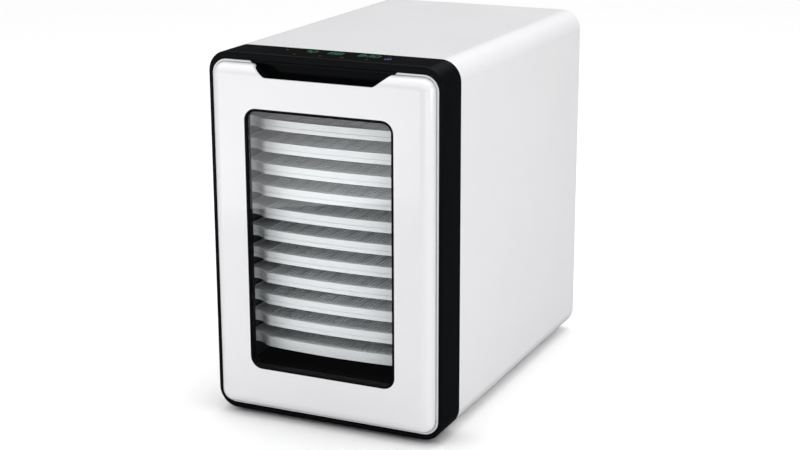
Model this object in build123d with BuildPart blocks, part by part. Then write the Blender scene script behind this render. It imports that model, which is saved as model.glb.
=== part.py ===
from build123d import *
from math import cos, hypot, pi, radians, sin
import os

# Upright food dehydrator: a white casing behind a gloss-black front frame, a drop-down door with
# a window, eleven trays on rails, and a fan with a ring heater behind a slotted baffle.
# Millimetres. +Z is up, the door faces -Y, and the origin is at the bottom centre of the whole box.

os.makedirs("parts", exist_ok=True)

# ---------------------------------------------------------------- driving dimensions
body_width = 290.0
body_height = 430.0
body_depth = 450.0
door_stand_out = 14.0
foot_height = 5.0
corner_radius = 24.0
casing_wall = 2.5
sheet = 1.5
clearance = 0.4
running_clearance = 0.05
overlap = 0.5
through = 1.0
screw_radius = 1.4
screw_head = (3.0, 1.6)

frame_depth = 50.0
frame_side_lip = 4.7
frame_bottom_lip = 6.8
frame_top_lip = 8.4
frame_flange_depth = 15.0
frame_flange_wall = 3.0
tongue_length = 8.0
tongue_wall = 2.0

door_thickness = 12.0
door_corner_radius = 18.0
door_rim = 2.9
door_rim_wall = 8.0
skin_wall = 2.2
crown_radius = 13.5
door_heel_radius = 6.0
hinge_setback = 3.0
hinge_height = 25.0
hinge_pin_radius = 1.75
hinge_pin_length = 11.0
hinge_bush_radius = 2.8

window_width = 185.0
window_bottom = 60.4
window_top = 370.0
window_radius = 14.5
window_trim_width = 3.4
glass_thickness = 3.0
gasket_thickness = 1.0

grip_top_half = 89.0
grip_bottom_half = 68.0
grip_lip_height = 405.3
grip_pocket_depth = 17.0
grip_wall = 2.0

chamber_width = 242.0
chamber_bottom_height = 50.0
chamber_top_height = 376.0
baffle_distance = 338.0
liner_wall = 2.5

tray_count = 11
tray_pitch = 26.3
first_tray_height = 76.0
tray_width = 236.0
tray_depth = 314.0
tray_height = 12.3
tray_front = 17.0
tray_bow = 4.5
tray_wing_setback = 16.0
tray_plate = 2.4
tray_rim = 1.0
rail_depth = 7.0
rail_height = 3.0

fan_radius = 74.0
fan_blade_count = 5
fan_blade_pitch = 30.0
fan_hub_radius = 14.0
fan_gap = 28.0
heater_gap = 8.0
motor_gap = 28.0
shaft_radius = 3.0
motor_radius = 30.0
motor_length = 40.0
ring_radii = (fan_radius - 22.0, fan_radius - 10.0)
heater_wire_radius = 3.2

# ---------------------------------------------------------------- places worked out from them
front_y = -(body_depth + door_stand_out) / 2 + door_stand_out
back_y = front_y + body_depth
base_z = foot_height
top_z = base_z + body_height
half_width = body_width / 2

pocket_half = half_width - frame_side_lip
pocket_bottom = base_z + frame_bottom_lip
pocket_top = top_z - frame_top_lip
pocket_radius = door_corner_radius + clearance

door_half = pocket_half - clearance
door_bottom = pocket_bottom + clearance
door_top = pocket_top - clearance
door_back_y = front_y + door_thickness
skin_front_y = front_y - door_stand_out

hinge_y = front_y + hinge_setback
hinge_z = base_z + hinge_height
heel_inset = door_thickness - hinge_setback - door_heel_radius
heel_drop = hinge_z - door_bottom - door_heel_radius
heel_reach = hypot(heel_inset, heel_drop) + door_heel_radius
recess_back_y = hinge_y + heel_reach + 2 * clearance
recess_top = hinge_z + door_thickness - hinge_setback + 5 * clearance

flange_y = front_y + frame_flange_depth
flange_back_y = flange_y + frame_flange_wall
frame_back_y = front_y + frame_depth
chamber_half = chamber_width / 2
chamber_bottom = base_z + chamber_bottom_height
chamber_top = base_z + chamber_top_height
baffle_y = front_y + baffle_distance

casing_inner_half = half_width - casing_wall
casing_inner_radius = corner_radius - casing_wall
bottom_slot_half = 90.0
base_plate_half = 104.0
base_plate_z = base_z + casing_wall

first_tray_z = base_z + first_tray_height
tray_front_y = front_y + tray_front
tray_back_y = tray_front_y + tray_depth

fan_z = (chamber_bottom + chamber_top) / 2
baffle_back_y = baffle_y + sheet
heater_y = baffle_back_y + heater_gap
fan_y = baffle_back_y + fan_gap
motor_y = fan_y + motor_gap


def upright(y):
    """Upright plane facing the front at depth y. Sketch x is X and sketch y is Z."""
    return Plane.XZ.offset(-y)


def outline(half, bottom, top, radius, mode=Mode.ADD):
    """Rounded rectangle, centred across the width, between two heights."""
    with Locations((0, (bottom + top) / 2)):
        RectangleRounded(2 * half, top - bottom, radius, mode=mode)


def block(x_range, y_range, z_range, mode=Mode.ADD):
    """Plain block given by its limits along X, Y and Z."""
    sizes = [high - low for low, high in (x_range, y_range, z_range)]
    middle = [(low + high) / 2 for low, high in (x_range, y_range, z_range)]
    with Locations(tuple(middle)):
        Box(*sizes, mode=mode)


def rod(x, z, radius, y_start, y_end, mode=Mode.ADD):
    """Round bar or hole along Y."""
    with Locations(Plane(origin=(x, (y_start + y_end) / 2, z), z_dir=(0, 1, 0))):
        Cylinder(radius, abs(y_end - y_start), mode=mode)


def pan_screw(shank_radius, length, head_radius, head_height):
    """Cross-head screw with its seat at the origin, its head along +Z and its shank along -Z."""
    with BuildPart() as screw:
        Cylinder(shank_radius, length, align=(Align.CENTER, Align.CENTER, Align.MAX))
        Cylinder(head_radius, head_height, align=(Align.CENTER, Align.CENTER, Align.MIN))
        fillet(screw.faces().sort_by(Axis.Z)[-1].edges(), radius=0.35 * head_height)
        for turn in (0, 90):
            with Locations(Location((0, 0, head_height), (0, 0, turn))):
                Box(1.1 * head_radius, 0.28 * head_radius, head_height, mode=Mode.SUBTRACT)
    return screw.part


def save(piece, name):
    """Label a finished piece and write it out."""
    piece.part.label = name
    export_step(piece.part, "parts/" + name + ".step")


# ================================================================ housing
# Outer casing: one white shell, open in front, with a slot along its underside for the base plate
# and a narrow inward flange near the back for the rear cover.
cover_setback = 6.0
cover_thickness = 3.0
cover_flange = 12.0
cover_screw_shares = (0.12, 0.5, 0.88)
foot_inset = (36.0, 35.0)
base_screw_rows = (-120.0, 20.0, 160.0)
slot_margin = 12.0
casing_back_edge = 1.6
foot_screw_length = 8.0
cover_y = back_y - cover_setback
cover_back_y = cover_y + cover_thickness
cover_screw_x = casing_inner_half - cover_flange / 2
cover_screw_places = [(side * cover_screw_x, base_z + share * body_height)
                      for side in (-1, 1) for share in cover_screw_shares]
cover_screw_places += [(side * body_width / 5, height) for side in (-1, 1)
                       for height in (base_z + casing_wall + cover_flange / 2,
                                      top_z - casing_wall - cover_flange / 2)]
foot_places = [(side * (half_width - foot_inset[0]), y)
               for side in (-1, 1) for y in (front_y + foot_inset[1], back_y - foot_inset[1])]
base_screw_places = [(side * (bottom_slot_half + base_plate_half) / 2, y)
                     for side in (-1, 1) for y in base_screw_rows]

with BuildPart() as outer_casing:
    with BuildSketch(upright(back_y)):
        outline(half_width, base_z, top_z, corner_radius)
        outline(casing_inner_half, base_z + casing_wall, top_z - casing_wall, casing_inner_radius,
                Mode.SUBTRACT)
    extrude(amount=back_y - frame_back_y)
    fillet(outer_casing.faces().sort_by(Axis.Y)[-1].outer_wire().edges(), radius=casing_back_edge)
    with BuildSketch(upright(cover_y)):
        outline(casing_inner_half + overlap, base_z + casing_wall - overlap,
                top_z - casing_wall + overlap, casing_inner_radius + overlap)
        outline(casing_inner_half - cover_flange, base_z + casing_wall + cover_flange,
                top_z - casing_wall - cover_flange, casing_inner_radius - cover_flange, Mode.SUBTRACT)
    extrude(amount=casing_wall)
    block((-bottom_slot_half, bottom_slot_half), (frame_back_y + slot_margin, cover_y - slot_margin),
          (base_z - through, base_z + casing_wall + through), Mode.SUBTRACT)
    for x, z in cover_screw_places:
        rod(x, z, screw_radius, cover_y - 2 * casing_wall, cover_y + through, Mode.SUBTRACT)
    with Locations(*[(x, y, base_z) for x, y in base_screw_places + foot_places[1::2]]):
        Cylinder(screw_radius, 4 * casing_wall, mode=Mode.SUBTRACT)
save(outer_casing, "outer_casing")

# Base plate: flat steel sheet lying on the edges of the casing's slot.
base_plate_top = base_plate_z + sheet
base_plate_y = (frame_back_y + tongue_length + through, cover_y - casing_wall - clearance)
base_screw_length = casing_wall + sheet + 3.0

with BuildPart() as base_plate:
    block((-base_plate_half, base_plate_half), base_plate_y, (base_plate_z, base_plate_top))
    with Locations(*[(x, y, base_plate_z) for x, y in base_screw_places]):
        Cylinder(screw_radius, 4 * sheet, mode=Mode.SUBTRACT)
    fillet(base_plate.edges().filter_by(Axis.Z).group_by(SortBy.LENGTH)[-1], radius=1.0)
save(base_plate, "base_plate")

base_screw = pan_screw(screw_radius, base_screw_length, *screw_head)
with BuildPart() as base_screws:
    for x, y in base_screw_places:
        with Locations(Location((x, y, base_z), (180, 0, 0))):
            add(base_screw)
save(base_screws, "base_screws")

# Feet: four rubber discs, each held by a screw sunk in its underside.
foot_radius = 11.0
foot_taper = 8.0
foot_edge = 0.8
foot_sink = 2.5
foot_hole_radius = 4.0
foot_screw_head = (3.2, 1.6)

with BuildPart() as feet:
    for x, y in foot_places:
        with BuildSketch(Plane(origin=(x, y, base_z), z_dir=(0, 0, -1))):
            Circle(foot_radius)
        extrude(amount=foot_height, taper=foot_taper)
    fillet(feet.faces().group_by(Axis.Z)[0].edges(), radius=foot_edge)
    with Locations(*[(x, y, 0) for x, y in foot_places]):
        Cylinder(foot_hole_radius, 2 * foot_sink, mode=Mode.SUBTRACT)
        Cylinder(screw_radius, 4 * foot_height, mode=Mode.SUBTRACT)
save(feet, "feet")

foot_screw = pan_screw(screw_radius, foot_screw_length, *foot_screw_head)
with BuildPart() as foot_screws:
    for x, y in foot_places:
        with Locations(Location((x, y, foot_sink), (180, 0, 0))):
            add(foot_screw)
save(foot_screws, "foot_screws")

# Rear cover: flat plate set into the back of the casing, with rows of air slots, a cut-out for the
# power inlet and holes for its screws.
inlet_x = 95.0
inlet_z = base_z + 45.0
inlet_size = (27.0, 20.0)
inlet_screw_offset = 20.0
slot_size = (38.0, 4.5)
slot_pitch = (46.0, 11.0)
slot_columns = 5
slot_rows = 17
cover_screw_head = (3.2, 1.8)
cover_screw_length = cover_thickness + casing_wall + 2.0
inlet_screw_places = [(inlet_x + side * inlet_screw_offset, inlet_z) for side in (-1, 1)]

with BuildPart() as rear_cover:
    with BuildSketch(upright(cover_back_y)):
        outline(casing_inner_half - clearance, base_z + casing_wall + clearance,
                top_z - casing_wall - clearance, casing_inner_radius - clearance)
        with Locations((0, fan_z)):
            with GridLocations(slot_pitch[0], slot_pitch[1], slot_columns, slot_rows):
                SlotOverall(*slot_size, mode=Mode.SUBTRACT)
        with Locations((inlet_x, inlet_z)):
            Rectangle(inlet_size[0] + clearance, inlet_size[1] + clearance, mode=Mode.SUBTRACT)
    extrude(amount=cover_thickness)
    for x, z in cover_screw_places + inlet_screw_places:
        rod(x, z, screw_radius, cover_y - through, cover_back_y + through, Mode.SUBTRACT)
save(rear_cover, "rear_cover")

cover_screw = pan_screw(screw_radius, cover_screw_length, *cover_screw_head)
with BuildPart() as rear_cover_screws:
    for x, z in cover_screw_places:
        with Locations(Plane(origin=(x, cover_back_y, z), z_dir=(0, 1, 0))):
            add(cover_screw)
save(rear_cover_screws, "rear_cover_screws")

# Power inlet: three-pin appliance socket with a screwed flange.
inlet_flange = 2.2
inlet_flange_size = (50.0, 25.0)
inlet_flange_radius = 5.0
inlet_depth = 18.0
inlet_floor = 2.0
socket_half = (11.5, 8.0)
pin_offsets = [(-7.0, -2.0), (0.0, 3.0), (7.0, -2.0)]
pin_half = (1.0, 2.0)
pin_y = (cover_back_y - inlet_depth - 6.0, cover_back_y - 4.0)
countersink_depth = 1.6
countersink_y = cover_back_y + inlet_flange - countersink_depth / 2


def inlet_pin_blocks(mode):
    """The inlet's three flat pins, or the holes for them."""
    for x, z in pin_offsets:
        block((inlet_x + x - pin_half[0], inlet_x + x + pin_half[0]), pin_y,
              (inlet_z + z - pin_half[1], inlet_z + z + pin_half[1]), mode)


def inlet_countersinks(mode):
    """The cones of the inlet's screw heads, or the seats for them."""
    for x, z in inlet_screw_places:
        with Locations(Plane(origin=(x, countersink_y, z), z_dir=(0, 1, 0))):
            Cone(screw_radius, screw_head[0], countersink_depth, mode=mode)


with BuildPart() as power_inlet:
    block((inlet_x - inlet_size[0] / 2, inlet_x + inlet_size[0] / 2),
          (cover_back_y - inlet_depth, cover_back_y),
          (inlet_z - inlet_size[1] / 2, inlet_z + inlet_size[1] / 2))
    with BuildSketch(upright(cover_back_y + inlet_flange)):
        with Locations((inlet_x, inlet_z)):
            RectangleRounded(*inlet_flange_size, inlet_flange_radius)
    extrude(amount=inlet_flange)
    block((inlet_x - socket_half[0], inlet_x + socket_half[0]),
          (cover_back_y - inlet_depth + inlet_floor, back_y),
          (inlet_z - socket_half[1], inlet_z + socket_half[1]), Mode.SUBTRACT)
    inlet_pin_blocks(Mode.SUBTRACT)
    for x, z in inlet_screw_places:
        rod(x, z, screw_radius, cover_y, back_y, Mode.SUBTRACT)
    inlet_countersinks(Mode.SUBTRACT)
save(power_inlet, "power_inlet")

with BuildPart() as inlet_pins:
    inlet_pin_blocks(Mode.ADD)
save(inlet_pins, "inlet_pins")

with BuildPart() as inlet_screws:
    inlet_countersinks(Mode.ADD)
    for x, z in inlet_screw_places:
        rod(x, z, screw_radius, cover_y - cover_thickness, cover_back_y + inlet_flange - countersink_depth)
save(inlet_screws, "inlet_screws")

# Front frame: gloss-black ring round the door. Its pocket takes the door, a flange at the back of
# the pocket carries the seal, and a deeper recess below lets the door's heel swing inward.
frame_outer_edge = 2.0
frame_inner_edge = 0.8
panel_half = 84.0
panel_y = (front_y + 3.0, front_y + 46.0)
panel_thickness = 1.2
board_pocket_margin = 3.0
board_pocket_depth = 6.0
magnet_size = (22.0, 2.4, 9.0)
magnet_x = 108.0
magnet_z = top_z - 30.0
pin_hole_depth = 3.3


def fitting_pair(y_range, mode=Mode.ADD):
    """Two blocks of a magnet's width and height, one on each side, between two depths."""
    for side in (-1, 1):
        block((side * magnet_x - magnet_size[0] / 2, side * magnet_x + magnet_size[0] / 2), y_range,
              (magnet_z - magnet_size[2] / 2, magnet_z + magnet_size[2] / 2), mode)


def hinge_bore(radius, length, mode=Mode.SUBTRACT):
    """Round bar or hole along the hinge axis, centred across the width."""
    with Locations(Location((0, hinge_y, hinge_z), (0, 90, 0))):
        Cylinder(radius, length, mode=mode)


with BuildPart() as front_frame:
    with BuildSketch(upright(frame_back_y)):
        outline(half_width, base_z, top_z, corner_radius)
        outline(pocket_half, pocket_bottom, pocket_top, pocket_radius, Mode.SUBTRACT)
    extrude(amount=frame_depth)
    front_face = front_frame.faces().sort_by(Axis.Y)[0]
    fillet(front_face.outer_wire().edges(), radius=frame_outer_edge)
    front_face = front_frame.faces().sort_by(Axis.Y)[0]
    fillet(front_face.inner_wires().edges(), radius=frame_inner_edge)
    with BuildSketch(upright(flange_back_y)):
        outline(pocket_half + overlap, pocket_bottom - overlap, pocket_top + overlap,
                pocket_radius + overlap)
        with Locations((0, (chamber_bottom + chamber_top) / 2)):
            Rectangle(chamber_width, chamber_top - chamber_bottom, mode=Mode.SUBTRACT)
        with Locations((0, recess_top)):
            Rectangle(body_width, body_height, align=(Align.CENTER, Align.MAX), mode=Mode.SUBTRACT)
    extrude(amount=frame_flange_wall)
    with BuildSketch(upright(recess_back_y + liner_wall)):
        outline(pocket_half + overlap, pocket_bottom - overlap, pocket_top + overlap,
                pocket_radius + overlap)
        with Locations((0, recess_top + liner_wall)):
            Rectangle(body_width, body_height, align=(Align.CENTER, Align.MIN), mode=Mode.SUBTRACT)
    extrude(amount=liner_wall)
    block((-pocket_half - overlap, pocket_half + overlap), (flange_y, recess_back_y + liner_wall),
          (recess_top, recess_top + liner_wall))
    with BuildSketch(upright(frame_back_y + tongue_length)):
        outline(casing_inner_half - clearance, base_z + casing_wall + clearance,
                top_z - casing_wall - clearance, casing_inner_radius - clearance)
        outline(casing_inner_half - clearance - tongue_wall, base_z + casing_wall + clearance + tongue_wall,
                top_z - casing_wall - clearance - tongue_wall,
                casing_inner_radius - clearance - tongue_wall, Mode.SUBTRACT)
    extrude(amount=tongue_length + through)
    block((-panel_half, panel_half), panel_y, (top_z - panel_thickness, top_z + through), Mode.SUBTRACT)
    block((-panel_half + board_pocket_margin, panel_half - board_pocket_margin),
          (panel_y[0] + board_pocket_margin, panel_y[1] - board_pocket_margin),
          (top_z - board_pocket_depth, top_z), Mode.SUBTRACT)
    fitting_pair((flange_y - through, flange_y + magnet_size[1]), Mode.SUBTRACT)
    hinge_bore(hinge_pin_radius, 2 * (pocket_half + pin_hole_depth))
    with Locations(*[(x, y, base_z) for x, y in foot_places[0::2]]):
        Cylinder(screw_radius, 2 * (foot_screw_length - foot_sink), mode=Mode.SUBTRACT)
save(front_frame, "front_frame")

# Touch panel, its circuit board and its display, in the front frame's top face.
with BuildPart() as touch_panel:
    block((-panel_half + running_clearance, panel_half - running_clearance),
          (panel_y[0] + running_clearance, panel_y[1] - running_clearance),
          (top_z - panel_thickness, top_z))
save(touch_panel, "touch_panel")

board_z = top_z - board_pocket_depth
board_thickness = 1.6
board_gap = 1.0
board_half = panel_half - board_pocket_margin - board_gap
board_y = (panel_y[0] + board_pocket_margin + board_gap, panel_y[1] - board_pocket_margin - board_gap)
sensor_size = (5.0, 5.0, 1.0)
sensor_pitch = 26.0
sensor_count = 5
sensor_row_y = board_y[0] + 8.0
display_half = 62.0
display_y = (board_y[1] - 16.0, board_y[1] - 2.0)
display_top = top_z - panel_thickness - clearance / 2

with BuildPart() as control_board:
    block((-board_half, board_half), board_y, (board_z, board_z + board_thickness))
    with Locations((0, sensor_row_y, board_z + board_thickness)):
        with GridLocations(sensor_pitch, sensor_pitch, sensor_count, 1):
            Box(*sensor_size, align=(Align.CENTER, Align.CENTER, Align.MIN))
save(control_board, "control_board")

with BuildPart() as display_module:
    block((-display_half, display_half), display_y, (board_z + board_thickness, display_top))
    fillet(display_module.edges().filter_by(Axis.Z), radius=1.0)
save(display_module, "display_module")

with BuildPart() as door_magnets:
    fitting_pair((flange_y, flange_y + magnet_size[1]))
save(door_magnets, "door_magnets")

pin_middle = pocket_half + pin_hole_depth - hinge_pin_length / 2
with BuildPart() as hinge_pins:
    for side in (-1, 1):
        with Locations(Location((side * pin_middle, hinge_y, hinge_z), (0, 90, 0))):
            Cylinder(hinge_pin_radius, hinge_pin_length)
save(hinge_pins, "hinge_pins")

# ================================================================ tray chamber
# Rail walls: a flat side with one rail under each tray. The right one mirrors the left one.
rail_start_y = tray_front_y + tray_wing_setback + 5.0
rail_nose_radius = 4.0
liner_y = (flange_back_y, baffle_y)
liner_rib = (3.0, 0.9 * (baffle_y - flange_back_y), 8.0)
liner_rib_places = [(side * chamber_half / 2, (flange_back_y + baffle_y) / 2) for side in (-1, 1)]


def tray_z(level):
    """Height of a tray's lowest edge."""
    return first_tray_z + level * tray_pitch


with BuildPart() as left_rail_wall:
    block((-chamber_half - liner_wall, -chamber_half), liner_y, (chamber_bottom, chamber_top))
    for level in range(tray_count):
        rail_top = tray_z(level) + tray_height - tray_rim - tray_plate - clearance
        block((-chamber_half - overlap, -chamber_half + rail_depth), (rail_start_y, baffle_y),
              (rail_top - rail_height, rail_top))
    rail_noses = left_rail_wall.edges().filter_by(Axis.Z).group_by(Axis.Y)[1].group_by(Axis.X)[-1]
    fillet(rail_noses, radius=rail_nose_radius)
save(left_rail_wall, "left_rail_wall")

with BuildPart() as right_rail_wall:
    add(mirror(left_rail_wall.part, about=Plane.YZ))
save(right_rail_wall, "right_rail_wall")

with BuildPart() as chamber_floor:
    block((-chamber_half - liner_wall, chamber_half + liner_wall), liner_y,
          (chamber_bottom - liner_wall, chamber_bottom))
    with Locations(*[(x, y, chamber_bottom - liner_wall) for x, y in liner_rib_places]):
        Box(*liner_rib, align=(Align.CENTER, Align.CENTER, Align.MAX))
save(chamber_floor, "chamber_floor")

with BuildPart() as chamber_ceiling:
    block((-chamber_half - liner_wall, chamber_half + liner_wall), liner_y,
          (chamber_top, chamber_top + liner_wall))
    with Locations(*[(x, y, chamber_top + liner_wall) for x, y in liner_rib_places]):
        Box(*liner_rib, align=(Align.CENTER, Align.CENTER, Align.MIN))
save(chamber_ceiling, "chamber_ceiling")

# Trays: a thin bordered plate with a grid floor, a tall front lip that bows outward between two
# curved wings, low rims and two stiffening ribs underneath. All eleven are alike.
tray_half = tray_width / 2
tray_rim_width = 2.5
tray_lip_wall = 2.4
wing_half = tray_half - 9.0
bow_half = tray_half - 34.0
grid_pitch = (20.0, 21.4)
grid_bar = 2.5
grid_columns = 9
grid_rows = 13
grid_middle_y = (tray_front_y + tray_back_y) / 2 + 10.0
tray_rib_x = tray_half - 11.0
tray_rib = (2.0, 4.0)
tray_corner = 8.0
lip_groove_depth = 0.8
lip_groove_z = (4.6, 6.2)


def tray_front_line(shift):
    """Front edge in plan, moved back by shift: flat wings, a curved drop, and a forward bow."""
    wing_y = tray_front_y + tray_wing_setback + shift
    bow_y = tray_front_y + tray_bow + shift
    nose_y = tray_front_y + shift
    left_wing = Line((-tray_half, wing_y), (-wing_half, wing_y))
    bow = ThreePointArc((-bow_half, bow_y), (0, nose_y), (bow_half, bow_y))
    left_drop = Spline((-wing_half, wing_y), (-bow_half, bow_y), tangents=[(1, 0), bow % 0])
    right_drop = Spline((bow_half, bow_y), (wing_half, wing_y), tangents=[bow % 1, (1, 0)])
    right_wing = Line((wing_half, wing_y), (tray_half, wing_y))
    return [left_wing, left_drop, bow, right_drop, right_wing]


def front_strip(first_shift, last_shift):
    """Sketch of a strip that follows the tray's front edge between two set-backs."""
    with BuildLine() as strip_edge:
        tray_front_line(first_shift)
        tray_front_line(last_shift)
        for side in (-1, 1):
            wing_y = tray_front_y + tray_wing_setback
            Line((side * tray_half, wing_y + first_shift), (side * tray_half, wing_y + last_shift))
    make_face(strip_edge.edges())


bottom_z = tray_z(0)
plate_z = bottom_z + tray_height - tray_rim - tray_plate

with BuildPart() as first_tray:
    with BuildSketch(Plane.XY.offset(plate_z)):
        with BuildLine():
            tray_front_line(overlap)
            Line((-tray_half, tray_front_y + tray_wing_setback + overlap), (-tray_half, tray_back_y))
            Line((-tray_half, tray_back_y), (tray_half, tray_back_y))
            Line((tray_half, tray_back_y), (tray_half, tray_front_y + tray_wing_setback + overlap))
        make_face()
    extrude(amount=tray_plate)
    with BuildSketch(Plane.XY.offset(bottom_z)):
        front_strip(0, tray_lip_wall)
    extrude(amount=tray_height)
    with BuildSketch(Plane.XY.offset(bottom_z + lip_groove_z[0])):
        front_strip(-overlap, lip_groove_depth)
    extrude(amount=lip_groove_z[1] - lip_groove_z[0], mode=Mode.SUBTRACT)
    rim_z = (plate_z + overlap, bottom_z + tray_height)
    side_start_y = tray_front_y + tray_wing_setback + overlap
    for side in (-1, 1):
        edge = sorted((side * tray_half, side * (tray_half - tray_rim_width)))
        block(edge, (side_start_y, tray_back_y), rim_z)
        rib = sorted((side * tray_rib_x, side * (tray_rib_x - tray_rib[0])))
        block(rib, (side_start_y, tray_back_y - tray_rib[1]), (plate_z - tray_rib[1], plate_z + overlap))
    block((-tray_half, tray_half), (tray_back_y - tray_rim_width, tray_back_y), rim_z)
    with Locations((0, grid_middle_y, plate_z + tray_plate)):
        with GridLocations(*grid_pitch, grid_columns, grid_rows):
            Box(grid_pitch[0] - grid_bar, grid_pitch[1] - grid_bar, 3 * tray_plate, mode=Mode.SUBTRACT)
    rear_corners = first_tray.edges().filter_by(Axis.Z).group_by(Axis.Y)[-1]
    fillet(rear_corners, radius=tray_corner)

for level in range(tray_count):
    tray = first_tray.part.moved(Location((0, 0, level * tray_pitch)))
    tray.label = f"tray_{level + 1:02d}"
    export_step(tray, f"parts/{tray.label}.step")

# ================================================================ rear compartment
# Fan baffle: sheet-metal partition across the casing, with slots in the chamber's end wall.
probe_x = 100.0
probe_z = chamber_top - 9.0
probe_radius = 2.5
probe_reach = 28.0
probe_tail = 8.0
probe_collar = (6.0, 2.0)
baffle_slot = (58.0, 5.0)
baffle_slot_pitch = (70.0, 13.0)
baffle_slot_grid = (3, 21)

with BuildPart() as fan_baffle:
    with BuildSketch(upright(baffle_back_y)):
        outline(casing_inner_half - clearance, base_plate_top + clearance, top_z - casing_wall - clearance,
                casing_inner_radius - clearance)
        with Locations((0, fan_z)):
            with GridLocations(*baffle_slot_pitch, *baffle_slot_grid):
                SlotOverall(*baffle_slot, mode=Mode.SUBTRACT)
        with Locations((probe_x, probe_z)):
            Circle(probe_radius, mode=Mode.SUBTRACT)
    extrude(amount=sheet)
save(fan_baffle, "fan_baffle")

# Fan shroud: short ring round the fan with a flange against the baffle and a gap for the heater's
# leads.
shroud_radius = fan_radius + 5.0
shroud_wall = 1.5
shroud_length = 40.0
shroud_flange = 5.0
lead_gap_half = 16.0

with BuildPart() as fan_shroud:
    with BuildSketch(upright(baffle_back_y + shroud_length)):
        with Locations((0, fan_z)):
            Circle(shroud_radius + shroud_wall)
            Circle(shroud_radius, mode=Mode.SUBTRACT)
    extrude(amount=shroud_length)
    with BuildSketch(upright(baffle_back_y + shroud_wall)):
        with Locations((0, fan_z)):
            Circle(shroud_radius + shroud_flange)
            Circle(shroud_radius, mode=Mode.SUBTRACT)
    extrude(amount=shroud_wall)
    block((-lead_gap_half, lead_gap_half), (baffle_back_y - through, heater_y + 2 * heater_wire_radius),
          (fan_z - shroud_radius - 2 * shroud_flange, fan_z - ring_radii[0]), Mode.SUBTRACT)
save(fan_shroud, "fan_shroud")

# Ring heater: two round loops joined by a bridge, with two leads running down, on ceramic clips.
lead_x = 8.0
lead_radius = heater_wire_radius - 0.4
lead_length = 36.0
lead_middle_z = fan_z - ring_radii[1] - 16.0

with BuildPart() as heating_element:
    for radius in ring_radii:
        with Locations(Plane(origin=(0, heater_y, fan_z), z_dir=(0, 1, 0))):
            Torus(radius, heater_wire_radius)
    with Locations((0, heater_y, fan_z + sum(ring_radii) / 2)):
        Cylinder(heater_wire_radius, ring_radii[1] - ring_radii[0])
    for side in (-1, 1):
        with Locations((side * lead_x, heater_y, lead_middle_z)):
            Cylinder(lead_radius, lead_length)
save(heating_element, "heating_element")

clip_height = heater_y - heater_wire_radius - baffle_back_y
clip_size = (ring_radii[1] - ring_radii[0] + 12.0, clip_height, 8.0)
clip_circle = sum(ring_radii) / 2

with BuildPart() as heater_clips:
    for turn in (45, 135, 225, 315):
        angle = radians(turn)
        with Locations(Location((clip_circle * cos(angle), baffle_back_y + clip_height / 2,
                                 fan_z + clip_circle * sin(angle)), (0, -turn, 0))):
            Box(*clip_size)
save(heater_clips, "heater_clips")

# Thermal cut-out disc on the baffle, and the temperature probe that reaches into the chamber.
cutout_x = -105.0
cutout_z = fan_z + 120.0
cutout_radius = 8.0
cutout_height = 6.0
tab_offset = 4.0
tab_half = (1.5, 0.4)
tab_length = 7.0

with BuildPart() as thermal_cutout:
    rod(cutout_x, cutout_z, cutout_radius, baffle_back_y, baffle_back_y + cutout_height)
    for tab_x in (cutout_x - tab_offset, cutout_x + tab_offset):
        block((tab_x - tab_half[0], tab_x + tab_half[0]),
              (baffle_back_y + cutout_height - through, baffle_back_y + cutout_height + tab_length),
              (cutout_z - tab_half[1], cutout_z + tab_half[1]))
save(thermal_cutout, "thermal_cutout")

with BuildPart() as temperature_probe:
    rod(probe_x, probe_z, probe_radius, baffle_y - probe_reach, baffle_back_y + probe_tail)
    rod(probe_x, probe_z, probe_collar[0], baffle_back_y, baffle_back_y + probe_collar[1])
    fillet(temperature_probe.faces().sort_by(Axis.Y)[0].edges(), radius=0.6 * probe_radius)
save(temperature_probe, "temperature_probe")

# Motor bracket: a strap behind the fan on two legs, screwed to the baffle.
leg_x = shroud_radius + 9.0
strap_half_height = 17.0
bracket_foot = 15.0
bearing_radius = 8.0
bearing_length = 6.0
bracket_screw_rise = 10.0
bracket_screw_places = [(side * (leg_x + sheet + bracket_foot / 2), fan_z + rise * bracket_screw_rise)
                        for side in (-1, 1) for rise in (-1, 1)]

with BuildPart() as motor_bracket:
    strap_z = (fan_z - strap_half_height, fan_z + strap_half_height)
    block((-leg_x - sheet, leg_x + sheet), (motor_y - sheet, motor_y), strap_z)
    for side in (-1, 1):
        leg = sorted((side * leg_x, side * (leg_x + sheet)))
        block(leg, (baffle_back_y, motor_y), strap_z)
        foot = sorted((side * leg_x, side * (leg_x + sheet + bracket_foot)))
        block(foot, (baffle_back_y, baffle_back_y + sheet), strap_z)
    rod(0, fan_z, bearing_radius + through, motor_y - 2 * sheet, motor_y + through, Mode.SUBTRACT)
    for x, z in bracket_screw_places:
        rod(x, z, screw_radius, baffle_back_y - through, baffle_back_y + 2 * sheet, Mode.SUBTRACT)
save(motor_bracket, "motor_bracket")

bracket_screw = pan_screw(screw_radius, sheet, *screw_head)
with BuildPart() as bracket_screws:
    for x, z in bracket_screw_places:
        with Locations(Plane(origin=(x, baffle_back_y + sheet, z), z_dir=(0, 1, 0))):
            add(bracket_screw)
save(bracket_screws, "bracket_screws")

# Fan motor: a can with a bearing at each end, a wound stator and, on the shaft, the rotor.
can_wall = 1.5
stator_inner_radius = 15.4
rotor_radius = 15.0
motor_back_y = motor_y + motor_length
can_edge = 3.0
can_end = 4.0
stator_y = (motor_y + 8.0, motor_back_y - 8.0)
rotor_y = (motor_y + 9.0, motor_back_y - 9.0)
shaft_y = (fan_y - 16.0, motor_back_y + 1.0)

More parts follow.
